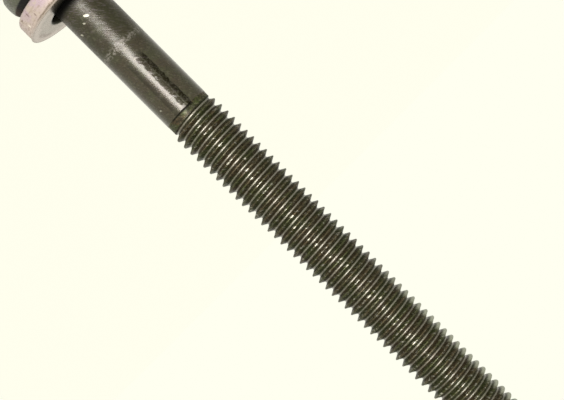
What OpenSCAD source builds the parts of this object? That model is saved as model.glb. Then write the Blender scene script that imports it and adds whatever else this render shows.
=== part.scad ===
// Cylinder stud: a long flange-headed M8 stud with a rolled right-hand thread,
// and the loose plain washer that rests on its flange. It stands on the end of
// its hexagon with the thread upwards. Millimetres; the origin is the middle of
// the hexagon's end face and +Z runs along the axis towards the threaded point.

/* [Thread] */
// Major diameter, over the crests
thread_d = 7.94; // [7:0.02:10]
// Pitch, crest to crest
thread_pitch = 1.25; // [1:0.05:1.5]
// Facets in one turn of the helix
thread_steps = 24; // [16:2:24]
// Turns over which the first groove deepens to the full profile
run_in_turns = 0.35; // [0.2:0.05:1]
// Angle about the axis at which the helix starts
thread_angle = 90; // [0:5:355]
// Diameter of the flat point
point_d = 6; // [4:0.1:6.2]
// Angle of the point's chamfer, from the axis
point_angle = 45; // [30:5:60]

/* [Shank] */
// Length from the flange's seat to the point
stud_length = 100; // [60:1:130]
// Length of the full shank, from the flange's seat
plain_length = 24.4; // [15:0.1:40]
// Length of the rolling blank that shows between the shank and the first groove
blank_length = 0.6; // [0.3:0.05:3]
// How far the blank's radius lies below the shank's
blank_step = 0.05; // [0.02:0.01:0.15]
// Diameter of the plain shank, rolled down to the thread's pitch diameter
shank_d = 7.1; // [6.6:0.05:7.8]
// Fillet between the shank and the flange's seat
seat_fillet = 0.5; // [0.2:0.1:0.8]

/* [Flange] */
// Largest diameter, at the middle of the crowned rim
flange_d = 15.26; // [14:0.02:20]
// Height of the flange, bevels and rim together
flange_h = 4.5; // [4:0.1:6]
// Height of the bevel below the seat
seat_bevel_h = 1.4; // [0.8:0.1:1.6]
// Height of the crowned rim
rim_h = 2.05; // [1:0.05:2.2]
// Radius of the rim's crown, seen from the side
crown_r = 5.3; // [3:0.1:12]
// Angle of both bevels, from the axis
bevel_angle = 27; // [10:1:35]

/* [Hexagon] */
// Width across the flats
hex_af = 12; // [10:0.5:13]
// Height of the hexagon above the flange
hex_h = 4.5; // [3:0.5:8]
// Angle of the chamfer round the hexagon's end face
hex_chamfer_angle = 30; // [15:5:45]
// Flat end face's diameter, as a share of the width across the flats
hex_face_share = 0.95; // [0.85:0.01:1]

/* [Washer] */
// Outside diameter of the washer's rim
washer_d = 16.5; // [15:0.1:24]
// Thickness, with the burr
washer_t = 3; // [1:0.1:4]
// How much wider the hole is than the thread that passes through it
washer_clearance = 1.06; // [0.2:0.02:1.5]
// Radius of the rolled edge that faces the flange
washer_roll_r = 0.6; // [0.2:0.1:0.9]
// How far the sheared edge's burr stands out from the rim
burr_out = 0.13; // [0:0.01:0.3]
// Height of the burr along the rim
burr_h = 0.35; // [0.1:0.05:0.6]
// Bevel at both ends of the hole
hole_bevel = 0.25; // [0.05:0.05:0.5]

/* [Hidden] */
$fn = 96;

// Thread profile over one pitch, as shares of the pitch: flat root, flank, flat crest, flank
root_flat = 1 / 4;
crest_flat = 1 / 8;
flank_run = (1 - root_flat - crest_flat) / 2;
// Depth of a rolled ISO metric thread for a pitch of 1
depth_per_pitch = 0.6134;

// Heights above the origin
seat_z = hex_h + flange_h;
shank_end_z = seat_z + plain_length;
helix_z = shank_end_z + blank_length;
point_z = seat_z + stud_length;

// Radii
shank_r = shank_d / 2;
blank_r = shank_r - blank_step;
crest_r = thread_d / 2;
root_r = crest_r - depth_per_pitch * thread_pitch;
point_r = min(point_d / 2, root_r);
flange_r = flange_d / 2;
hex_corner_r = hex_af / 2 / cos(30);
hole_r = crest_r + washer_clearance / 2;

// Flank angle, from a plane across the axis
flank_angle = 30;
// How deep the threaded rod is rooted in the shank
rod_overlap = 0.4;
// Height of the plain collar above the last turn
collar_h = 0.05;
arc_steps = 6;

// A point of a flat profile that turns about the axis: [radius, height]
function arc_points(centre, radius, from, to, steps) =
    [for (i = [0 : steps])
        let (a = from + (to - from) * i / steps)
        centre + radius * [cos(a), sin(a)]];

// Everything turned on the lathe: flange, seat, fillet and plain shank.
// The flange hangs below its seat: bevel, crowned rim, bevel.
module turned_body() {
    rim_half = min(rim_h, flange_h - seat_bevel_h) / 2;
    crown_half_angle = asin(min(1, rim_half / crown_r));
    rim_z = seat_z - seat_bevel_h - rim_half;
    rim_edge_r = flange_r - crown_r * (1 - cos(crown_half_angle));
    lower_bevel_h = rim_z - rim_half - hex_h;
    rim = arc_points([flange_r - crown_r, rim_z], crown_r,
                     -crown_half_angle, crown_half_angle, arc_steps);
    fillet = arc_points([shank_r + seat_fillet, seat_z + seat_fillet], seat_fillet,
                        270, 180, arc_steps);
    rotate_extrude()
        polygon(concat(
            [[0, hex_h], [rim_edge_r - lower_bevel_h * tan(bevel_angle), hex_h]],
            rim,
            [[rim_edge_r - seat_bevel_h * tan(bevel_angle), seat_z]],
            fillet,
            [[shank_r, shank_end_z], [0, shank_end_z]]));
}

// The hexagon, with its corners chamfered round the end face that it stands on
module hexagon() {
    face_r = hex_face_share * hex_af / 2;
    chamfer_h = (hex_corner_r - face_r) * tan(hex_chamfer_angle);
    intersection() {
        cylinder(r = hex_corner_r, h = hex_h, $fn = 6);
        union() {
            cylinder(r1 = face_r, r2 = hex_corner_r, h = chamfer_h);
            translate([0, 0, chamfer_h])
                cylinder(r = hex_corner_r, h = hex_h - chamfer_h);
        }
    }
}

// The threaded rod is one closed skin. Its points lie on four helical lines, along
// both ends of the root flat and both ends of the crest flat. Each step turns by
// 360 / thread_steps, so step i stands one pitch above step i - thread_steps.
helix_top_z = point_z - 2 * collar_h - (1 - flank_run) * thread_pitch;
last_step = floor((helix_top_z - helix_z) / thread_pitch * thread_steps);
profile_shares = [0, root_flat, root_flat + flank_run, root_flat + flank_run + crest_flat];
profile_radii = [root_r, root_r, crest_r, crest_r];

function chamfer_radius(z) = point_r + (point_z - z) * tan(point_angle);
function polar(radius, step, z) =
    let (a = thread_angle + 360 * step / thread_steps)
    [radius * cos(a), radius * sin(a), z];
function run_in(step) = min(1, step / (run_in_turns * thread_steps));
function profile_radius(step, k) = blank_r + run_in(step) * (profile_radii[k] - blank_r);
function thread_point(step, k) =
    let (z = helix_z + thread_pitch * (step / thread_steps + profile_shares[k]))
    polar(min(profile_radius(step, k), chamfer_radius(z)), step, z);
// Edge where the first groove's lower flank meets the blank
function shoulder_point(step) =
    let (depth = blank_r - profile_radius(step, 0))
    polar(blank_r, step,
          helix_z + thread_pitch * step / thread_steps - depth * tan(flank_angle));
function ring(radius, z) = [for (i = [0 : thread_steps - 1]) polar(radius, i, z)];

module threaded_rod() {
    points = concat(
        [for (i = [0 : last_step]) for (k = [0 : 3]) thread_point(i, k)],
        ring(blank_r, shank_end_z - rod_overlap),
        ring(point_r + collar_h * tan(point_angle), point_z - collar_h),
        ring(point_r, point_z),
        [for (i = [0 : thread_steps - 1]) shoulder_point(i)],
        [[0, 0, shank_end_z - rod_overlap], [0, 0, point_z]]);
    helix_count = 4 * (last_step + 1);

    // Indices of the points on the helix, on the three rings and on the shoulder
    function at(i, k) = 4 * i + k;
    function on(r, i) = helix_count + r * thread_steps + (i % thread_steps);
    function shoulder(i) = i == 0 ? at(0, 0) : on(3, i);
    bottom = helix_count + 4 * thread_steps;
    top = bottom + 1;

    // A square of the skin, as two triangles
    function patch(a, b, c, d) = [[a, b, c], [a, c, d]];
    // Triangles from one point to each pair of neighbours in a row of points
    function fan(apex, row) = [for (i = [0 : len(row) - 2]) [apex, row[i], row[i + 1]]];

    // Where the helix starts and ends, its profile stands between two turns
    before = thread_steps - 1;
    start_column = [at(0, 3), at(0, 2), at(0, 1), at(0, 0), on(0, 0)];
    end_turn = last_step - thread_steps;
    end_column = [at(end_turn, 3), at(last_step, 0), at(last_step, 1), at(last_step, 2),
                  at(last_step, 3), on(1, last_step)];

    faces = concat(
        // Root flat, rising flank and crest flat of every step
        [for (i = [0 : last_step - 1]) for (k = [0 : 2])
            each patch(at(i, k), at(i, k + 1), at(i + 1, k + 1), at(i + 1, k))],
        // Falling flank, down to the root of the next turn
        [for (i = [0 : end_turn - 1])
            each patch(at(i, 3), at(i + thread_steps, 0), at(i + thread_steps + 1, 0), at(i + 1, 3))],
        // Blank below the first turn
        [for (i = [0 : before - 1])
            each patch(on(0, i), shoulder(i), shoulder(i + 1), on(0, i + 1))],
        [[on(0, before), shoulder(before), on(0, 0)]],
        fan(shoulder(before), start_column),
        // Lower flank of the first groove
        [[at(0, 0), at(1, 0), shoulder(1)]],
        [for (i = [1 : before - 1])
            each patch(shoulder(i), at(i, 0), at(i + 1, 0), shoulder(i + 1))],
        patch(shoulder(before), at(before, 0), at(thread_steps, 0), at(0, 3)),
        // Chamfer above the last turn
        [[at(end_turn + 1, 3), on(1, end_turn), on(1, end_turn + 1)]],
        fan(at(end_turn + 1, 3), end_column),
        [for (i = [end_turn + 1 : last_step - 1])
            each patch(at(i, 3), on(1, i), on(1, i + 1), at(i + 1, 3))],
        // Collar and end caps
        [for (i = [0 : before]) each patch(on(1, i), on(2, i), on(2, i + 1), on(1, i + 1))],
        [for (i = [0 : before]) [bottom, on(0, i), on(0, i + 1)]],
        [for (i = [0 : before]) [top, on(2, i + 1), on(2, i)]]);
    polyhedron(points, faces);
}

module stud() {
    color([0.30, 0.29, 0.25])
        union() {
            turned_body();
            hexagon();
            threaded_rod();
        }
}

// A punched washer: the edge towards the flange is rolled round, the other is
// sheared and keeps a small burr. It lies loose on the seat, centred on the shank.
module washer() {
    low_z = seat_z;
    high_z = seat_z + washer_t;
    rim_r = washer_d / 2;
    rolled_edge = arc_points([rim_r - washer_roll_r, low_z + washer_roll_r], washer_roll_r,
                             270, 360, arc_steps);
    color([0.80, 0.75, 0.68])
        rotate_extrude()
            polygon(concat(
                [[hole_r, low_z + hole_bevel], [hole_r + hole_bevel, low_z]],
                rolled_edge,
                [[rim_r, high_z - burr_h], [rim_r + burr_out, high_z],
                 [hole_r + hole_bevel, high_z], [hole_r, high_z - hole_bevel]]));
}

stud();
washer();
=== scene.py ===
"""Looks of the cylinder stud: its threaded steel, its loose washer, the pale ground and the light."""

import math

import bmesh
import bpy
import numpy as np
from mathutils import Matrix, Vector


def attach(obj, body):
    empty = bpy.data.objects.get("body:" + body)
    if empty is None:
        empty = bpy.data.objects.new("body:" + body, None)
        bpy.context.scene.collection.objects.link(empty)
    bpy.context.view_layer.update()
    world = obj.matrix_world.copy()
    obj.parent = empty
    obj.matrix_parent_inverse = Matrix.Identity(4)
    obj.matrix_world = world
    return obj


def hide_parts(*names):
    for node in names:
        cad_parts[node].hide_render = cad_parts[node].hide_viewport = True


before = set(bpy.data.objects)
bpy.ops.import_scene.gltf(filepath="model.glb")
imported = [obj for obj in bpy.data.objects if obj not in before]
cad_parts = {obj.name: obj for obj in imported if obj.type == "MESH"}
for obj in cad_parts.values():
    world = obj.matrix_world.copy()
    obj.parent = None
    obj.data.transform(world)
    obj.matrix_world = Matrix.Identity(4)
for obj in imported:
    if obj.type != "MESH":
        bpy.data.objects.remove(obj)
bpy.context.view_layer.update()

MM = 0.001

# ---------------------------------------------------------------- sizes, in metres
HEX_H = 4.5 * MM
HEX_AF = 12 * MM
HEX_FACE_R = 5.7 * MM
HEX_CHAMFER = math.radians(30)
HEX_EDGE = 0.12 * MM
HEX_CORNER_WEAR = 0.09 * MM
SEAT_Z = 9 * MM
FLANGE_R = 7.63 * MM
SEAT_BEVEL_H = 1.4 * MM
RIM_H = 2.05 * MM
CROWN_R = 5.3 * MM
BEVEL = math.radians(27)
SEAT_EDGE = 0.1 * MM
SHANK_R = 3.55 * MM
SEAT_FILLET = 0.5 * MM
SHANK_LENGTH = 24.4 * MM
SHANK_END_Z = SEAT_Z + SHANK_LENGTH
BLANK_STEP = 0.05 * MM
BLANK_R = SHANK_R - BLANK_STEP
BLANK_LENGTH = 0.6 * MM
HELIX_Z = SHANK_END_Z + BLANK_LENGTH
STUD_LENGTH = 100 * MM
POINT_Z = SEAT_Z + STUD_LENGTH
PITCH = 1.25 * MM
CREST_R = 3.97 * MM
DEPTH_PER_PITCH = 0.6134
ROOT_R = CREST_R - DEPTH_PER_PITCH * PITCH
POINT_R = 3 * MM
HELIX_ANGLE = math.radians(90)
RUN_IN_TURNS = 0.35
FLANK_SLOPE = math.tan(math.radians(30))
WASHER_R = 8.25 * MM
WASHER_T = 3 * MM
WASHER_ROLL_R = 0.6 * MM
BURR_OUT = 0.13 * MM
HOLE_R = 4.5 * MM
HOLE_BEVEL = 0.25 * MM

# ---------------------------------------------------------------- the photograph's view
# Pixels are counted along the stud's axis (S) and across it (N), in the 564 x 400 frame.
FRAME_SIZE = (564, 400)
PIXELS_PER_METRE = 7255
SEAT_S = 32.3
AXIS_N = 54.4
FOOT_S = 374
FOOT_N = 58
CAMERA_DISTANCE = 0.1999
SENSOR_WIDTH = 36


def make_camera():
    """Looks along +Y at the standing stud, rolled so that +Z runs to the picture's lower right."""
    data = bpy.data.cameras.new("camera")
    camera = bpy.data.objects.new("camera", data)
    bpy.context.scene.collection.objects.link(camera)
    right = Vector((-1, 0, 1)).normalized()
    up = Vector((-1, 0, -1)).normalized()
    back = Vector((0, -1, 0))
    place = Vector((
        (AXIS_N - FOOT_N) / PIXELS_PER_METRE,
        -CAMERA_DISTANCE,
        SEAT_Z + (FOOT_S - SEAT_S) / PIXELS_PER_METRE,
    ))
    rotation = Matrix((right, up, back)).transposed().to_4x4()
    camera.matrix_world = Matrix.Translation(place) @ rotation
    width, height = FRAME_SIZE
    foot_x = (FOOT_S + FOOT_N) / math.sqrt(2)
    foot_y = (FOOT_S - FOOT_N) / math.sqrt(2)
    data.sensor_width = SENSOR_WIDTH
    data.lens = SENSOR_WIDTH * CAMERA_DISTANCE * PIXELS_PER_METRE / width
    data.shift_x = (width / 2 - foot_x) / width
    data.shift_y = (foot_y - height / 2) / width
    data.clip_start = 0.01
    data.clip_end = 20
    bpy.context.scene.camera = camera


# ---------------------------------------------------------------- shapes
STUD_COLUMNS = 96
SHANK_ROWS = 26
WASHER_COLUMNS = 144
# Edges sharper than these angles, in degrees, are not shaded smooth
STUD_SHARP = 32
WASHER_SHARP = 40
# Unevenness of the crests and of the washer's rim: depth in millimetres, spread in columns
CREST_WANDER, CREST_WANDER_SPREAD = 0.012, 14
CREST_NICK, CREST_NICK_SPREAD = 0.05, 2.0
# A crest is nicked where its noise passes the first number, by at most the second times the depth
NICK_FROM, NICK_MOST = 2.1, 2
RIM_WANDER, RIM_WANDER_SPREAD = 0.012, 5


def arc(centre, radius, start, end, steps):
    """Points of an arc in a profile of (radius, height)."""
    return [
        (centre[0] + radius * math.cos(a), centre[1] + radius * math.sin(a))
        for a in np.linspace(start, end, steps + 1)
    ]


def hexagon_radius(angle):
    """Distance from the axis to the hexagon's side, with its corners worn."""
    off_flat = (angle % (math.pi / 3)) - math.pi / 6
    sharp = HEX_AF / 2 / math.cos(off_flat)
    return min(sharp, HEX_AF / 2 / math.cos(math.pi / 6) - HEX_CORNER_WEAR)


def new_object(name, vertices, faces):
    """A closed mesh object with its normals outwards."""
    mesh = bpy.data.meshes.new(name)
    mesh.from_pydata([tuple(v) for v in vertices], [], faces)
    bm = bmesh.new()
    bm.from_mesh(mesh)
    bmesh.ops.remove_doubles(bm, verts=bm.verts, dist=1e-8)
    bmesh.ops.recalc_face_normals(bm, faces=bm.faces)
    bm.to_mesh(mesh)
    bm.free()
    mesh.update()
    obj = bpy.data.objects.new(name, mesh)
    bpy.context.scene.collection.objects.link(obj)
    return obj


def shade_smooth(obj, sharp_angle):
    """Smooth shading, broken at edges sharper than the angle in degrees."""
    for polygon in obj.data.polygons:
        polygon.use_smooth = True
    obj.data.set_sharp_from_angle(angle=math.radians(sharp_angle))


def smooth_noise(rng, count, spread):
    """A closed run of smooth random numbers of unit size."""
    raw = rng.standard_normal(count)
    reach = np.arange(count)
    reach = np.minimum(reach, count - reach)
    kernel = np.exp(-0.5 * (reach / spread) ** 2)
    smooth = np.real(np.fft.ifft(np.fft.fft(raw) * np.fft.fft(kernel)))
    return smooth / smooth.std()


# Thread profile over one pitch: shares of the pitch, and radii
PROFILE = [
    (0.000, 0.10), (0.055, 0.02), (0.125, 0.00), (0.195, 0.02), (0.250, 0.10),
    (0.400, 0.48), (0.545, 0.94), (0.565, 0.975), (0.590, 0.993), (0.625, 1.00), (0.660, 0.993),
    (0.685, 0.975), (0.705, 0.94), (0.850, 0.48),
]


def stud_mesh():
    """The whole stud as one closed skin: hexagon, flange, shank and a true helical thread."""
    rng = np.random.default_rng(7)
    step = 2 * math.pi / STUD_COLUMNS
    angles = [HELIX_ANGLE + i * step for i in range(STUD_COLUMNS)]
    vertices = []
    faces = []

    def ring(radius_of, height_of):
        """Adds one vertex a column and returns their indices."""
        first = len(vertices)
        for a in angles:
            r, z = radius_of(a), height_of(a)
            vertices.append((r * math.cos(a), r * math.sin(a), z))
        return list(range(first, first + STUD_COLUMNS))

    def join(lower, upper):
        for i in range(STUD_COLUMNS):
            j = (i + 1) % STUD_COLUMNS
            faces.append((lower[i], lower[j], upper[j], upper[i]))

    # Head: end face, chamfer, flats, flange, seat and fillet
    rings = []
    vertices.append((0, 0, 0))
    centre = 0
    for share in (0.35, 0.7, 0.94):
        rings.append(ring(lambda a: share * HEX_FACE_R, lambda a: 0))
    face_edge_z = HEX_EDGE * 0.3
    rings.append(ring(lambda a: HEX_FACE_R - HEX_EDGE, lambda a: 0))
    rings.append(ring(lambda a: HEX_FACE_R, lambda a: face_edge_z))

    def chamfer_z(a):
        return (hexagon_radius(a) - HEX_FACE_R) * math.tan(HEX_CHAMFER)

    for share in (0.5, 0.85):
        rings.append(ring(
            lambda a: HEX_FACE_R + share * (hexagon_radius(a) - HEX_FACE_R),
            lambda a: face_edge_z + share * chamfer_z(a),
        ))
    rings.append(ring(
        lambda a: hexagon_radius(a) - 0.01 * MM,
        lambda a: face_edge_z + chamfer_z(a),
    ))
    rings.append(ring(hexagon_radius, lambda a: HEX_EDGE + chamfer_z(a)))
    for z in np.linspace(0.3, 0.94, 4):
        rings.append(ring(hexagon_radius, lambda a: HEX_H * z))

    rim_half = RIM_H / 2
    crown = math.asin(rim_half / CROWN_R)
    rim_z = SEAT_Z - SEAT_BEVEL_H - rim_half
    rim_edge_r = FLANGE_R - CROWN_R * (1 - math.cos(crown))
    lower_h = rim_z - rim_half - HEX_H
    flange_foot_r = rim_edge_r - lower_h * math.tan(BEVEL)
    profile = [(flange_foot_r - 0.02 * MM, HEX_H), (flange_foot_r + 0.03 * MM, HEX_H + 0.08 * MM)]
    profile += [
        (rim_edge_r - h * math.tan(BEVEL), rim_z - rim_half - h)
        for h in (0.7 * lower_h, 0.4 * lower_h, 0.15 * lower_h)
    ]
    profile += arc((FLANGE_R - CROWN_R, rim_z), CROWN_R, -crown, crown, 10)
    profile += [
        (rim_edge_r - h * math.tan(BEVEL), rim_z + rim_half + h)
        for h in (0.2 * SEAT_BEVEL_H, 0.5 * SEAT_BEVEL_H, 0.85 * SEAT_BEVEL_H)
    ]
    seat_r = rim_edge_r - SEAT_BEVEL_H * math.tan(BEVEL)
    profile += arc((seat_r - SEAT_EDGE, SEAT_Z - SEAT_EDGE), SEAT_EDGE,
                   math.radians(20), math.radians(90), 3)
    profile += [(seat_r - 0.4 * MM, SEAT_Z), (SHANK_R + SEAT_FILLET + 0.6 * MM, SEAT_Z)]
    profile += arc((SHANK_R + SEAT_FILLET, SEAT_Z + SEAT_FILLET), SEAT_FILLET,
                   math.radians(270), math.radians(180), 6)
    profile += [
        (SHANK_R, z)
        for z in np.linspace(SEAT_Z + SEAT_FILLET, SHANK_END_Z - 0.04 * MM, SHANK_ROWS)[1:]
    ]
    profile += [(SHANK_R - 0.01 * MM, SHANK_END_Z - 0.01 * MM), (BLANK_R, SHANK_END_Z + 0.02 * MM)]
    profile += [(BLANK_R, SHANK_END_Z + 0.25 * MM)]
    for r, z in profile:
        rings.append(ring(lambda a: r, lambda a: z))
    for lower, upper in zip(rings, rings[1:]):
        join(lower, upper)
    for i in range(STUD_COLUMNS):
        faces.append((centre, rings[0][(i + 1) % STUD_COLUMNS], rings[0][i]))

    # Thread: helical lines that follow the profile, one point a column and a share of the pitch
    end_z = POINT_Z - 0.1 * MM
    shares = [s for s, _ in PROFILE]
    last = int((end_z - HELIX_Z - shares[-1] * PITCH) / PITCH * STUD_COLUMNS)
    wander = smooth_noise(rng, last + 1, CREST_WANDER_SPREAD) * CREST_WANDER * MM
    nick = smooth_noise(rng, last + 1, CREST_NICK_SPREAD) - NICK_FROM
    nick = np.clip(nick, 0, NICK_MOST) * CREST_NICK * MM
    helix_first = len(vertices)
    for i in range(last + 1):
        a = HELIX_ANGLE + i * step
        run_in = min(1, i / STUD_COLUMNS / RUN_IN_TURNS)
        for share, height in PROFILE:
            z = HELIX_Z + PITCH * (i / STUD_COLUMNS + share)
            r = ROOT_R + height * (CREST_R - ROOT_R)
            r -= max(0, height - 0.6) * (nick[i] + abs(wander[i]))
            r = BLANK_R + run_in * (r - BLANK_R)
            r = min(r, POINT_R + (POINT_Z - z))
            vertices.append((r * math.cos(a), r * math.sin(a), z))
    count = len(PROFILE)

    def at(i, k):
        return helix_first + i * count + k

    for i in range(last):
        for k in range(count - 1):
            faces.append((at(i, k), at(i + 1, k), at(i + 1, k + 1), at(i, k + 1)))
        if i + STUD_COLUMNS + 1 <= last:
            above = i + STUD_COLUMNS
            faces.append((at(i, count - 1), at(i + 1, count - 1), at(above + 1, 0), at(above, 0)))

    # The blank below the first turn ends in a shoulder; the first groove's lower flank falls from it
    shoulder = [at(0, 0)]
    for i in range(1, STUD_COLUMNS):
        a = angles[i]
        x, y, z = vertices[at(i, 0)]
        z -= (BLANK_R - math.hypot(x, y)) * FLANK_SLOPE
        vertices.append((BLANK_R * math.cos(a), BLANK_R * math.sin(a), z))
        shoulder.append(len(vertices) - 1)
    blank = rings[-1]
    for i in range(STUD_COLUMNS - 1):
        faces.append((blank[i], blank[i + 1], shoulder[i + 1], shoulder[i]))
    faces.append((at(0, 0), shoulder[1], at(1, 0)))
    for i in range(1, STUD_COLUMNS - 1):
        faces.append((shoulder[i], shoulder[i + 1], at(i + 1, 0), at(i, 0)))
    apex = shoulder[-1]
    seam = [blank[0]] + [at(0, k) for k in range(count)]
    faces.append((blank[-1], blank[0], apex))
    for a, b in zip(seam, seam[1:]):
        faces.append((apex, a, b))
    faces.append((apex, seam[-1], at(STUD_COLUMNS, 0), at(STUD_COLUMNS - 1, 0)))

    # Skirt from the last turn to the point's rim, and the flat point
    end_turn = last - STUD_COLUMNS
    rim = ring(lambda a: POINT_R + 0.02 * MM, lambda a: POINT_Z - 0.02 * MM)
    flat = ring(lambda a: POINT_R - 0.08 * MM, lambda a: POINT_Z)

    def rim_at(i):
        return rim[i % STUD_COLUMNS]

    seam = [at(end_turn, count - 1)] + [at(last, k) for k in range(count)] + [rim_at(last)]
    apex = at(end_turn + 1, count - 1)
    for a, b in zip(seam, seam[1:]):
        faces.append((apex, a, b))
    faces.append((apex, rim_at(end_turn), rim_at(end_turn + 1)))
    for i in range(end_turn + 1, last):
        faces.append((at(i, count - 1), at(i + 1, count - 1), rim_at(i + 1), rim_at(i)))
    join(rim, flat)
    inner = [ring(lambda a: share * POINT_R, lambda a: POINT_Z) for share in (0.7, 0.35)]
    join(flat, inner[0])
    join(inner[0], inner[1])
    vertices.append((0, 0, POINT_Z))
    tip = len(vertices) - 1
    for i in range(STUD_COLUMNS):
        faces.append((tip, inner[1][i], inner[1][(i + 1) % STUD_COLUMNS]))
    return vertices, faces


def make_stud():
    vertices, faces = stud_mesh()
    stud = new_object("stud_body", vertices, faces)
    shade_smooth(stud, STUD_SHARP)
    return stud


def make_washer():
    """A punched washer: rolled edge towards the flange, sheared edge with a burr on the other side."""
    low, high = SEAT_Z, SEAT_Z + WASHER_T
    rolled, bevel = WASHER_ROLL_R, HOLE_BEVEL
    burr_r = WASHER_R + BURR_OUT
    profile = [(HOLE_R, low + bevel), (HOLE_R + 0.08 * MM, low + 0.08 * MM), (HOLE_R + bevel, low)]
    profile += [(r, low) for r in np.linspace(HOLE_R + bevel, WASHER_R - rolled, 6)[1:-1]]
    profile += arc((WASHER_R - rolled, low + rolled), rolled,
                   math.radians(270), math.radians(360), 8)
    profile += [(WASHER_R, z) for z in np.linspace(low + rolled, high - 0.5 * MM, 6)[1:]]
    profile += [(WASHER_R + 0.03 * MM, high - 0.36 * MM), (burr_r - 0.02 * MM, high - 0.2 * MM)]
    profile += [(burr_r, high - 0.1 * MM), (burr_r - 0.05 * MM, high - 0.02 * MM)]
    profile += [(burr_r - 0.2 * MM, high)]
    profile += [(r, high) for r in np.linspace(burr_r - 0.2 * MM, HOLE_R + bevel, 9)[1:]]
    profile += [(HOLE_R + 0.08 * MM, high - 0.08 * MM), (HOLE_R, high - bevel)]
    profile += [(HOLE_R, z) for z in np.linspace(high - bevel, low + bevel, 5)[1:-1]]
    rng = np.random.default_rng(3)
    out = smooth_noise(rng, WASHER_COLUMNS, RIM_WANDER_SPREAD) * RIM_WANDER * MM
    vertices = []
    faces = []
    for i in range(WASHER_COLUMNS):
        a = 2 * math.pi * i / WASHER_COLUMNS
        for r, z in profile:
            r_here = r + (min(0, out[i]) if r > WASHER_R - 0.1 * MM else 0)
            vertices.append((r_here * math.cos(a), r_here * math.sin(a), z))
    count = len(profile)
    for i in range(WASHER_COLUMNS):
        j = (i + 1) % WASHER_COLUMNS
        for k in range(count):
            m = (k + 1) % count
            faces.append((i * count + k, j * count + k, j * count + m, i * count + m))
    washer = new_object("washer_body", vertices, faces)
    shade_smooth(washer, WASHER_SHARP)
    return washer


# ---------------------------------------------------------------- materials
class Graph:
    """Shader nodes by short calls. An argument is a socket to link or a constant to set."""

    def __init__(self, tree):
        self.tree = tree

    def set(self, socket, value):
        if isinstance(value, bpy.types.NodeSocket):
            self.tree.links.new(value, socket)
        elif value is not None:
            socket.default_value = value

    def node(self, kind, inputs=(), **settings):
        made = self.tree.nodes.new(kind)
        for key, value in settings.items():
            setattr(made, key, value)
        for key, value in dict(inputs).items():
            self.set(made.inputs[key], value)
        return made

    def math(self, operation, a, b=None, clamp=False):
        inputs = {0: a, 1: b}
        return self.node("ShaderNodeMath", inputs, operation=operation, use_clamp=clamp).outputs[0]

    def inverse(self, a):
        return self.math("SUBTRACT", 1.0, a)

    def vector(self, operation, a, b=None):
        return self.node("ShaderNodeVectorMath", {0: a, 1: b}, operation=operation).outputs[0]

    def length(self, a):
        return self.node("ShaderNodeVectorMath", {0: a}, operation="LENGTH").outputs["Value"]

    def step(self, value, low, high, to_low=0.0, to_high=1.0):
        """Smooth step from to_low to to_high while the value goes from low to high."""
        inputs = {"Value": value, "From Min": low, "From Max": high,
                  "To Min": to_low, "To Max": to_high}
        return self.node("ShaderNodeMapRange", inputs, interpolation_type="SMOOTHSTEP").outputs[0]

    def band(self, value, centre, half, soft):
        """1 within half of the centre, falling to 0 over soft on either side."""
        off = self.math("ABSOLUTE", self.math("SUBTRACT", value, centre))
        return self.step(off, half, half + soft, 1.0, 0.0)

    def noise(self, vector, scale, detail, roughness):
        inputs = {"Vector": vector, "Scale": scale, "Detail": detail, "Roughness": roughness}
        return self.node("ShaderNodeTexNoise", inputs).outputs[0]

    def stretched_noise(self, vector, stretch, scale, detail, roughness):
        """Noise of a place whose three coordinates are each stretched first."""
        return self.noise(self.vector("MULTIPLY", vector, stretch), scale, detail, roughness)

    def mix(self, factor, a, b):
        """Colour a where the factor is 0 and b where it is 1."""
        made = self.node("ShaderNodeMix", data_type="RGBA")
        for index, value in ((0, factor), (6, a), (7, b)):
            self.set(made.inputs[index], value)
        return made.outputs[2]

    def blend(self, factor, a, b):
        """Number a where the factor is 0 and b where it is 1."""
        made = self.node("ShaderNodeMix", data_type="FLOAT")
        for index, value in ((0, factor), (2, a), (3, b)):
            self.set(made.inputs[index], value)
        return made.outputs[0]

    def most(self, *values):
        result = values[0]
        for value in values[1:]:
            result = self.math("MAXIMUM", result, value)
        return result

    def times(self, *values):
        result = values[0]
        for value in values[1:]:
            result = self.math("MULTIPLY", result, value)
        return result

    def bump(self, height, strength, distance):
        inputs = {"Height": height, "Strength": strength, "Distance": distance}
        return self.node("ShaderNodeBump", inputs).outputs[0]


# Turns the places on the shank so that the first axis lies along its scratches
OBLIQUE = math.radians(-45)
# Bumps: heights of the steel's grain, of its oil film and of the washer's grain, in metres
STEEL_BUMP = 0.00004
FILM_BUMP = 0.00005
WASHER_BUMP = 0.00006


def rgb(red, green, blue):
    return (red, green, blue, 1.0)


def empty_material(name):
    material = bpy.data.materials.new(name)
    material.use_nodes = True
    material.node_tree.nodes.clear()
    return material, Graph(material.node_tree)


def new_material(name):
    """A material with one Principled shader, its graph, and places on the part in millimetres."""
    material, graph = empty_material(name)
    shader = graph.node("ShaderNodeBsdfPrincipled")
    graph.node("ShaderNodeOutputMaterial", {"Surface": shader.outputs[0]})
    place = graph.node("ShaderNodeTexCoord").outputs["Object"]
    place = graph.vector("MULTIPLY", place, (1000, 1000, 1000))
    return material, graph, shader, place


def round_axis(g, place):
    """A place's height and distance from the axis, in millimetres, and its angle about the axis.

    The angle is in degrees: 0 at the front, growing towards +X.
    """
    x, y, z = g.node("ShaderNodeSeparateXYZ", {0: place}).outputs
    radius = g.length(g.vector("MULTIPLY", place, (1, 1, 0)))
    angle = g.times(g.math("ARCTAN2", x, g.times(y, -1.0)), 180 / math.pi)
    return z, radius, angle


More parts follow.
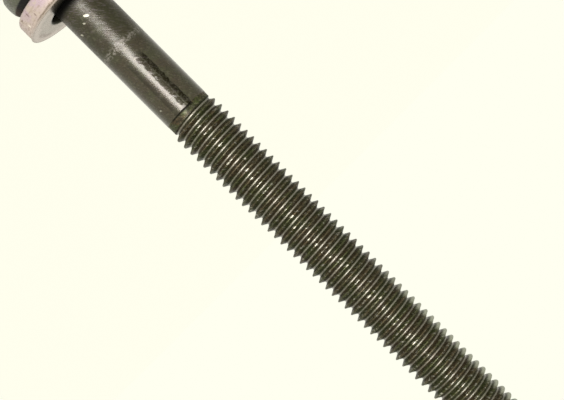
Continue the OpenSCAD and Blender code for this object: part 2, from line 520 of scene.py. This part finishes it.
# Bare chips on the steel: angle in degrees, height and half width in millimetres
CHIPS = (
    (9.8, 15.2, 0.26), (55.7, 16.4, 0.20), (26.1, 15.7, 0.14), (48.0, 31.3, 0.11),
    (2.9, 40.4, 0.28), (17.6, 42.9, 0.30), (-13.2, 44.2, 0.20), (1.9, 45.2, 0.34),
    (5.8, 46.5, 0.30), (2.8, 54.1, 0.30), (14.4, 55.4, 0.20), (11.4, 57.9, 0.20),
    (7.4, 59.2, 0.26), (4.9, 61.7, 0.22), (-7.2, 62.9, 0.22), (-6.8, 64.1, 0.24),
    (7.0, 69.1, 0.30), (-6.8, 70.3, 0.24), (7.6, 77.9, 0.30), (45.1, 85.5, 0.20),
)


# Places of the larger marks on the steel: heights in millimetres, angles in degrees
RING_SCUFF_Z = 21.2
SMEAR_Z, SMEAR_HALF = 29.0, 4.3
SMEAR_ANGLE = -11.5
FLECKS_ANGLE = 0.5
STREAK_ANGLE = 22.0
SHADED_ANGLE = -28.0
GROOVE_ANGLE = 14.0
GLINT_STRIP_ANGLE = 3.0
# The shank is worn clean below the first height and keeps its oil above the second
WORN_Z, OILED_Z = 18.0, 25.0

SOOT = rgb(0.024, 0.022, 0.010)


def chip_mask(g, oblique, grain):
    """1 on the bare chips, each longer along the scratches and ragged at its edge."""
    masks = []
    for angle, height, half in CHIPS:
        across = math.radians(angle)
        reach = (SHANK_R if height < SHANK_END_Z / MM else CREST_R) / MM
        centre = Vector((reach * math.sin(across), -reach * math.cos(across), height))
        centre.rotate(Matrix.Rotation(OBLIQUE, 3, "Y"))
        away = g.vector("SUBTRACT", oblique, tuple(centre))
        away = g.length(g.vector("MULTIPLY", away, (0.65, 1.0, 1.35)))
        away = g.math("ADD", away, g.times(g.math("SUBTRACT", grain, 0.5), 0.5))
        masks.append(g.step(away, half * 0.7, half * 1.2, 1.0, 0.0))
    return g.most(*masks)


def steel_material():
    """Blackened steel with an oil film: worn bright at the thread's roots, scuffed along the shank,
    with painted shade in corners and painted light on the thread.
    """
    material, g, shader, place = new_material("blackened_steel")
    z, radius, angle = round_axis(g, place)
    # Turns climbed along the helix: its fraction is 0.125 in the root and 0.625 on the crest
    turn = g.math("SUBTRACT", g.times(g.math("SUBTRACT", z, HELIX_Z / MM), MM / PITCH),
                  g.times(g.math("ADD", angle, 180.0), 1 / 360))
    share = g.math("FRACT", turn)
    seat = SEAT_Z / MM
    washer_top = (SEAT_Z + WASHER_T) / MM
    shank_end = SHANK_END_Z / MM
    threaded = g.step(z, shank_end - 0.05, shank_end + 0.05)
    plain = g.inverse(threaded)
    crest = CREST_R / MM
    root = ROOT_R / MM

    oblique = g.node("ShaderNodeVectorRotate", {
        "Vector": place, "Angle": OBLIQUE, "Axis": (0, 1, 0),
    }, rotation_type="AXIS_ANGLE").outputs[0]

    # Tone: broad blotches on the shank, olive and brown runs along the ridges, grain over all
    blotch = g.noise(place, 0.55, 3, 0.6)
    run = g.stretched_noise(place, (0.45, 0.45, 1.5), 0.8, 2, 0.5)
    grain = g.noise(place, 3.4, 3, 0.6)
    speck = g.stretched_noise(oblique, (0.55, 1.0, 1.3), 2.5, 2, 0.6)
    fine = g.noise(place, 11.0, 2, 0.6)
    tone = g.mix(g.step(blotch, 0.35, 0.65), rgb(0.060, 0.049, 0.025), rgb(0.055, 0.056, 0.023))
    tone = g.mix(g.step(z, 18.0, 26.0, 0.35, 0.0), tone, rgb(0.028, 0.027, 0.013))
    brown, olive = rgb(0.094, 0.068, 0.031), rgb(0.066, 0.081, 0.021)
    thread_tone = g.mix(g.step(run, 0.40, 0.60), brown, olive)
    head_light, head_dark = rgb(0.120, 0.130, 0.080), rgb(0.100, 0.105, 0.066)
    head_tone = g.mix(g.step(blotch, 0.35, 0.65), head_light, head_dark)
    head = g.step(z, seat - 0.05, seat + 0.05, 1.0, 0.0)
    tone = g.mix(head, g.mix(threaded, tone, thread_tone), head_tone)
    dark_grain = g.times(g.step(grain, 0.46, 0.60), g.blend(threaded, 0.45, 0.80))
    tone = g.mix(dark_grain, tone, SOOT)
    pale = g.times(g.step(speck, 0.54, 0.66), g.blend(threaded, 0.14, 0.50))
    tone = g.mix(pale, tone, rgb(0.25, 0.24, 0.15))

    # Wear on the thread: burnished roots, painted brighter at the front as painted light; painted shade
    # beside them; crests worn bare in places, with a painted glint strip and painted highlights on some
    # tips
    after_start = g.step(z, shank_end + 0.3, shank_end + 0.9)
    rolled = g.times(g.step(radius, root + 0.01, root + 0.06, 1.0, 0.0), after_start)
    rolled = g.times(rolled, g.step(g.noise(place, 1.6, 3, 0.65), 0.34, 0.58, 0.55, 1.0))
    # The burnished roots are painted brighter within 25 degrees of the front, as painted light, and
    # dimmer from 60 to 74 mm up
    rolled = g.times(rolled, g.step(angle, -25.0, 25.0, 1.0, 0.70),
                     g.step(z, 60.0, 74.0, 1.0, 0.70))
    valley = g.times(g.step(radius, root + 0.03, root + 0.24, 1.0, 0.0), after_start)
    # Painted shade on the flanks beside the roots
    shade_beside_roots = g.most(g.band(share, 0.36, 0.06, 0.10), g.band(share, 0.87, 0.08, 0.08))
    shade_beside_roots = g.times(shade_beside_roots, g.step(radius, crest - 0.10, crest - 0.30), after_start)
    # Painted shade on the first groove's lower flank
    first_flank = g.times(g.band(turn, -0.07, 0.06, 0.04), threaded)
    crest_flat = g.times(g.step(radius, crest - 0.16, crest - 0.06), threaded)
    often = g.step(z, 40.0, 80.0, 0.60, 0.58)
    # Painted glint strip: crests within a few degrees of the front are worn bright more often, most of
    # all above 66 mm
    glint_strip = g.times(g.band(angle, GLINT_STRIP_ANGLE, 6.0, 5.0), g.step(z, 44.0, 66.0, 0.6, 1.0))
    often = g.math("SUBTRACT", often, g.times(glint_strip, 0.05))
    here = g.stretched_noise(oblique, (0.7, 1.0, 1.4), 1.6, 2, 0.55)
    ridge = g.step(radius, crest - 0.46, crest - 0.20)
    rubbed_and_glints = g.times(ridge, threaded, g.step(g.math("SUBTRACT", here, often), 0.0, 0.06))
    # Painted highlight: the crest tips on the -X side, from 62 to 77 mm up, are painted pale
    lit_crest_tips = g.times(g.step(radius, crest - 0.60, crest - 0.20), g.step(z, 62.0, 77.0))
    lit_crest_tips = g.times(lit_crest_tips, g.band(angle, -90.0, 28.0, 16.0))

    # Scuffs round the shank: a ring, a dark smear beside the front, and oblique scratches
    coarse = g.noise(place, 3.0, 3, 0.7)
    ring = g.times(g.band(z, RING_SCUFF_Z, 0.20, 0.50), g.step(coarse, 0.46, 0.58))
    ragged_angle = g.math("ADD", angle, g.times(g.noise(place, 1.2, 2, 0.6), 10.0))
    along = g.band(z, SMEAR_Z, SMEAR_HALF, 2.0)
    marks = g.stretched_noise(oblique, (0.35, 1.0, 3.2), 2.2, 2, 0.55)
    patches = g.stretched_noise(oblique, (0.6, 1.0, 1.7), 1.9, 2, 0.6)
    smear = g.times(g.band(ragged_angle, SMEAR_ANGLE, 4.0, 3.0), g.step(coarse, 0.30, 0.55, 0.45, 1.0))
    flecks = g.times(g.band(ragged_angle, FLECKS_ANGLE, 4.5, 3.5),
                     g.step(patches, 0.35, 0.52, 0.0, 0.88))
    streak = g.times(g.band(angle, STREAK_ANGLE, 3.5, 3.5), 0.5)
    smear = g.times(g.most(smear, flecks, streak), along)
    worn = g.step(z, WORN_Z, OILED_Z, 1.0, 0.0)
    shaded = g.times(g.band(angle, SHADED_ANGLE, 12.0, 16.0), worn, plain)
    scratch = g.times(g.step(marks, 0.54, 0.66), g.step(z, seat + 0.5, 22.0, 1.0, 0.25), plain)
    # Painted shade masks: the step where the shank ends, the shank's foot above the washer and the
    # flange's bevel under the washer
    groove = g.times(g.band(z, shank_end + 0.12, 0.04, 0.16),
                     g.band(angle, GROOVE_ANGLE, 26.0, 14.0))
    foot = g.times(g.step(z, washer_top + 0.1, washer_top + 1.5, 1.0, 0.0),
                   g.step(z, seat - 0.1, seat))
    bevel_foot = (SEAT_Z - SEAT_BEVEL_H) / MM
    gap = g.times(g.step(z, bevel_foot + 0.02, bevel_foot + 0.35),
                  g.step(z, seat + 0.05, seat))
    bare_crest = g.times(crest_flat, g.inverse(lit_crest_tips))
    chips = chip_mask(g, oblique, grain)
    for mask, strength, colour in (
        (smear, 0.92, rgb(0.016, 0.014, 0.007)),
        (ring, 0.60, rgb(0.32, 0.30, 0.25)),
        (shaded, 0.40, rgb(0.022, 0.021, 0.005)),
        (scratch, 0.24, rgb(0.34, 0.28, 0.32)),
        (shade_beside_roots, 0.36, rgb(0.016, 0.015, 0.008)),
        (rolled, 0.90, rgb(0.36, 0.35, 0.27)),
        (bare_crest, 0.25, rgb(0.095, 0.091, 0.045)),
        (lit_crest_tips, 0.85, rgb(0.50, 0.53, 0.40)),
        (rubbed_and_glints, 0.75, rgb(0.40, 0.395, 0.31)),
        (chips, 0.9, rgb(0.62, 0.61, 0.47)),
    ):
        tone = g.mix(g.times(mask, strength), tone, colour)

    # Painted shade in the corners: the first groove, the shank's foot and the gap under the washer
    corner_shade = g.most(g.times(groove, 0.80), g.times(foot, 0.97), g.times(first_flank, 0.30))
    tone = g.mix(corner_shade, tone, rgb(0.007, 0.007, 0.006))
    blank = g.times(threaded, g.step(turn, -0.20, -0.12, 1.0, 0.0))
    tone = g.mix(g.times(blank, 0.12), tone, SOOT)
    # Painted shade in the gap, turning from 55 to 75 degrees into a painted brown reflection of the
    # washer
    gap_shade_and_reflection = g.mix(g.step(angle, 55.0, 75.0), rgb(0.007, 0.007, 0.011), rgb(0.050, 0.026, 0.020))
    tone = g.mix(g.times(gap, 0.85), tone, gap_shade_and_reflection)
    corner_shade = g.most(corner_shade, g.times(gap, 0.80))
    g.set(shader.inputs["Base Color"], tone)

    # Metal shows where it is plain or bare; the ridges are dull with dried oil
    metal = g.blend(threaded, 0.35, 0.65)
    metal = g.most(metal, g.times(g.most(rolled, rubbed_and_glints, chips), 0.85), corner_shade, smear)
    g.set(shader.inputs["Metallic"], metal)
    rough = g.blend(worn, 0.25, 0.40)
    rough = g.blend(threaded, rough, g.blend(g.most(rolled, rubbed_and_glints), 0.50, 0.40))
    rough = g.math("ADD", rough, g.times(g.math("SUBTRACT", blotch, 0.5), 0.20))
    rough = g.math("ADD", rough, g.times(g.most(smear, ring, g.times(blank, 0.3)), 0.25))
    rough = g.math("ADD", rough, g.times(corner_shade, 0.5), clamp=True)
    g.set(shader.inputs["Roughness"], rough)
    clean = g.inverse(g.most(corner_shade, smear, g.times(shaded, 0.6)))
    oiled = g.blend(worn, g.step(marks, 0.30, 0.60, 0.88, 0.62),
                    g.step(marks, 0.38, 0.60, 0.62, 0.12))
    oiled = g.blend(threaded, oiled, g.blend(valley, 0.15, 0.70))
    g.set(shader.inputs["Coat Weight"], g.times(clean, oiled))
    shader.inputs["Coat Roughness"].default_value = 0.18

    height = g.math("ADD", g.times(grain, 0.6), g.times(fine, 0.35))
    height = g.math("ADD", height, g.times(marks, g.blend(worn, 0.2, 1.8), plain))
    height = g.math("SUBTRACT", height, g.times(chips, 0.5))
    g.set(shader.inputs["Normal"], g.bump(height, 0.5, STEEL_BUMP))
    film = g.math("ADD", g.times(marks, g.blend(worn, 0.6, 2.6)),
                  g.times(coarse, g.blend(worn, 0.25, 1.0)))
    g.set(shader.inputs["Coat Normal"], g.bump(film, 0.5, FILM_BUMP))
    return material


# Marks on the washer's rim: angle in degrees, height, half width and half height in millimetres
RIM_MARKS = (
    (48.0, 10.0, 0.12, 0.40, rgb(0.17, 0.11, 0.08)),
    (61.5, 9.7, 0.36, 0.13, rgb(0.20, 0.13, 0.09)),
    (40.0, 10.9, 0.14, 0.26, rgb(0.26, 0.19, 0.16)),
    (58.0, 11.0, 0.20, 0.26, rgb(0.95, 0.88, 0.72)),
)


def washer_material():
    """Dull plated steel: a pale warm sheared rim painted lighter on one side, a greyer tumbled face,
    and a painted reflection and painted shade round the hole.
    """
    material, g, shader, place = new_material("washer_steel")
    z, radius, angle = round_axis(g, place)
    rim_r = WASHER_R / MM
    hole_r = HOLE_R / MM
    blotch = g.noise(place, 0.7, 3, 0.6)
    grain = g.noise(place, 3.2, 4, 0.7)
    fine = g.noise(place, 12.0, 2, 0.6)
    stain = g.stretched_noise(place, (1, 1, 3), 0.9, 3, 0.6)
    lilac = g.times(g.step(blotch, 0.42, 0.62), g.step(z, 10.4, 11.4, 1.0, 0.25))
    rim = g.mix(lilac, rgb(0.56, 0.475, 0.385), rgb(0.52, 0.41, 0.43))
    # Painted light: the rim is painted lighter from 40 to 60 degrees round from the front onwards
    rim = g.mix(g.step(angle, 40.0, 60.0, 0.0, 0.5), rim, rgb(0.66, 0.56, 0.48))
    rim = g.mix(g.step(stain, 0.54, 0.64, 0.0, 0.45), rim, rgb(0.33, 0.25, 0.18))
    scuff = g.stretched_noise(place, (1, 1, 2.5), 2.4, 3, 0.6)
    rim = g.mix(g.step(scuff, 0.58, 0.68, 0.0, 0.55), rim, rgb(0.30, 0.23, 0.17))
    face = g.mix(g.step(blotch, 0.35, 0.65), rgb(0.45, 0.41, 0.345), rgb(0.54, 0.475, 0.41))
    face = g.mix(g.step(radius, 6.4, 7.6, 0.0, 0.8), face, rgb(0.68, 0.59, 0.52))
    uneven = g.math("SUBTRACT", blotch, 0.5)
    top = (SEAT_Z + WASHER_T) / MM
    level = g.math("ADD", z, g.times(uneven, 0.8))
    on_rim = g.times(g.step(radius, rim_r - 0.35, rim_r - 0.1),
                     g.step(level, top - 0.34, top - 0.24, 1.0, 0.0))
    tone = g.mix(on_rim, face, rim)
    tone = g.mix(g.step(grain, 0.52, 0.72, 0.0, 0.40), tone, rgb(0.34, 0.28, 0.22))
    edge = g.step(radius, rim_r - 0.3, rim_r - 0.1)
    burr = g.times(edge, g.step(level, top - 0.34, top - 0.24))
    burr_tone = g.times(burr, g.step(angle, 36.0, 50.0, 0.55, 0.30))
    tone = g.mix(burr_tone, tone, rgb(0.28, 0.23, 0.15))
    seam = g.times(g.band(level, top - 0.34, 0.04, 0.15), edge, g.step(angle, 36.0, 50.0, 1.0, 0.2))
    seam = g.times(seam, g.step(grain, 0.35, 0.60, 0.30, 0.85))
    tone = g.mix(seam, tone, rgb(0.20, 0.155, 0.10))
    smudge = g.times(g.band(radius, 6.95, 0.15, 0.45), g.band(angle, 104.0, 12.0, 14.0))
    smudge = g.times(smudge, g.step(grain, 0.40, 0.60, 0.3, 0.8))
    tone = g.mix(smudge, tone, rgb(0.22, 0.15, 0.11))

    for mark_angle, mark_z, half_width, half_height, colour in RIM_MARKS:
        across = math.radians(mark_angle)
        centre = (rim_r * math.sin(across), -rim_r * math.cos(across), mark_z)
        shrink = (1 / half_width, 1 / half_width, 1 / half_height)
        away = g.vector("MULTIPLY", g.vector("SUBTRACT", place, centre), shrink)
        away = g.math("ADD", g.length(away), g.times(g.math("SUBTRACT", grain, 0.5), 2.0))
        tone = g.mix(g.step(away, 0.6, 1.3, 0.75, 0.0), tone, colour)

    # Painted reflection of the dark shank on the face round the hole, reaching furthest at the front,
    # and painted shade in the bore
    near = g.math("SUBTRACT", g.math("ADD", radius, g.times(uneven, 0.5)), hole_r + 0.2)
    front = g.band(g.math("ADD", angle, g.times(uneven, 25.0)), 0.0, 22.0, 30.0)
    shank_reflection_and_bore_shade = g.step(g.math("DIVIDE", near, g.blend(front, 0.4, 4.2)), 0.0, 1.0, 1.0, 0.0)
    shank_reflection_and_bore_shade = g.times(shank_reflection_and_bore_shade, g.inverse(on_rim))
    # Painted shade in the bore and on its bevel
    bore_shade = g.step(radius, hole_r + 0.15, hole_r + 0.35, 1.0, 0.0)
    shank_reflection_and_bore_shade = g.most(shank_reflection_and_bore_shade, bore_shade)
    tone = g.mix(g.times(shank_reflection_and_bore_shade, 0.95), tone, rgb(0.018, 0.022, 0.006))
    g.set(shader.inputs["Base Color"], tone)
    rough = g.blend(on_rim, g.step(grain, 0.3, 0.7, 0.18, 0.30),
                    g.step(grain, 0.3, 0.7, 0.42, 0.60))
    rough = g.blend(shank_reflection_and_bore_shade, rough, g.blend(bore_shade, 0.10, 0.60))
    g.set(shader.inputs["Roughness"], rough)
    g.set(shader.inputs["Metallic"], g.blend(g.most(on_rim, burr), 0.95, 0.35))
    height = g.math("ADD", g.times(grain, 0.7), g.times(fine, 0.3))
    height = g.times(height, g.blend(shank_reflection_and_bore_shade, 1.0, 0.25))
    g.set(shader.inputs["Normal"], g.bump(height, 0.4, WASHER_BUMP))
    return material


# ---------------------------------------------------------------- stage and light
GROUND = (1.0, 1.0, 0.871)
FLOOR_R = 8
FLOOR_GLOW = 0.78
KEY_PLACE = Vector((0.038, -0.3, 0.04))
KEY_TARGET = Vector((0, 0, 0.04))
KEY_WIDTH, KEY_HEIGHT = 0.155, 0.26
KEY_WATTS = 1.3
KEY_COLOUR = (1, 0.95, 0.98)


def make_stage():
    bpy.ops.mesh.primitive_circle_add(vertices=64, radius=FLOOR_R, fill_type="NGON", location=(0, 0, 0))
    floor = bpy.context.object
    floor.name = "floor"
    material, g = empty_material("pale_floor")
    glow = g.node("ShaderNodeEmission", {"Color": (*GROUND, 1), "Strength": FLOOR_GLOW})
    matt = g.node("ShaderNodeBsdfDiffuse", {"Color": (0.40, 0.40, 0.35, 1)})
    both = g.node("ShaderNodeAddShader", {0: glow.outputs[0], 1: matt.outputs[0]})
    g.node("ShaderNodeOutputMaterial", {"Surface": both.outputs[0]})
    floor.data.materials.append(material)
    floor.visible_glossy = False
    floor.visible_diffuse = False
    floor.visible_shadow = False
    return floor


def make_world():
    """Cream ground behind everything, and a room that is brighter behind the part than in front."""
    world = bpy.data.worlds.new("studio")
    bpy.context.scene.world = world
    world.use_nodes = True
    world.node_tree.nodes.clear()
    g = Graph(world.node_tree)
    seen = g.node("ShaderNodeLightPath").outputs["Is Camera Ray"]
    direction = g.node("ShaderNodeTexCoord").outputs["Generated"]
    sideways, forward, _ = g.node("ShaderNodeSeparateXYZ", {0: direction}).outputs
    room = g.math("ADD", g.step(forward, -1.0, -0.5, 0.38, 0.50),
                  g.step(forward, 0.0, 0.9, 0.0, 0.30))
    room = g.math("SUBTRACT", room, g.step(sideways, -1.0, -0.5, 0.12, 0.0))
    ground = g.node("ShaderNodeBackground", {"Color": (*GROUND, 1)})
    light = g.node("ShaderNodeBackground", {"Color": (1.0, 0.98, 0.90, 1), "Strength": room})
    both = g.node("ShaderNodeMixShader", {0: seen, 1: light.outputs[0], 2: ground.outputs[0]})
    g.node("ShaderNodeOutputWorld", {"Surface": both.outputs[0]})


def make_key_light(floor):
    """A soft box before the lower part of the stud. It leaves the floor out."""
    data = bpy.data.lights.new("key", "AREA")
    data.shape = "RECTANGLE"
    data.size = KEY_WIDTH
    data.size_y = KEY_HEIGHT
    data.energy = KEY_WATTS
    data.color = KEY_COLOUR
    light = bpy.data.objects.new("key", data)
    light.location = KEY_PLACE
    light.rotation_mode = "QUATERNION"
    light.rotation_quaternion = (KEY_TARGET - KEY_PLACE).to_track_quat("-Z", "Y")
    bpy.context.scene.collection.objects.link(light)
    lit = bpy.data.collections.new("key_light")
    light.light_linking.receiver_collection = lit
    lit.objects.link(floor)
    lit.collection_objects[0].light_linking.link_state = "EXCLUDE"


def main():
    bpy.context.scene.view_settings.view_transform = "Standard"
    make_camera()
    floor = make_stage()
    make_world()
    make_key_light(floor)
    stud = make_stud()
    stud.data.materials.append(steel_material())
    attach(stud, "root")
    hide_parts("stud")
    washer = make_washer()
    washer.data.materials.append(washer_material())
    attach(washer, "root")
    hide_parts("washer")


main()
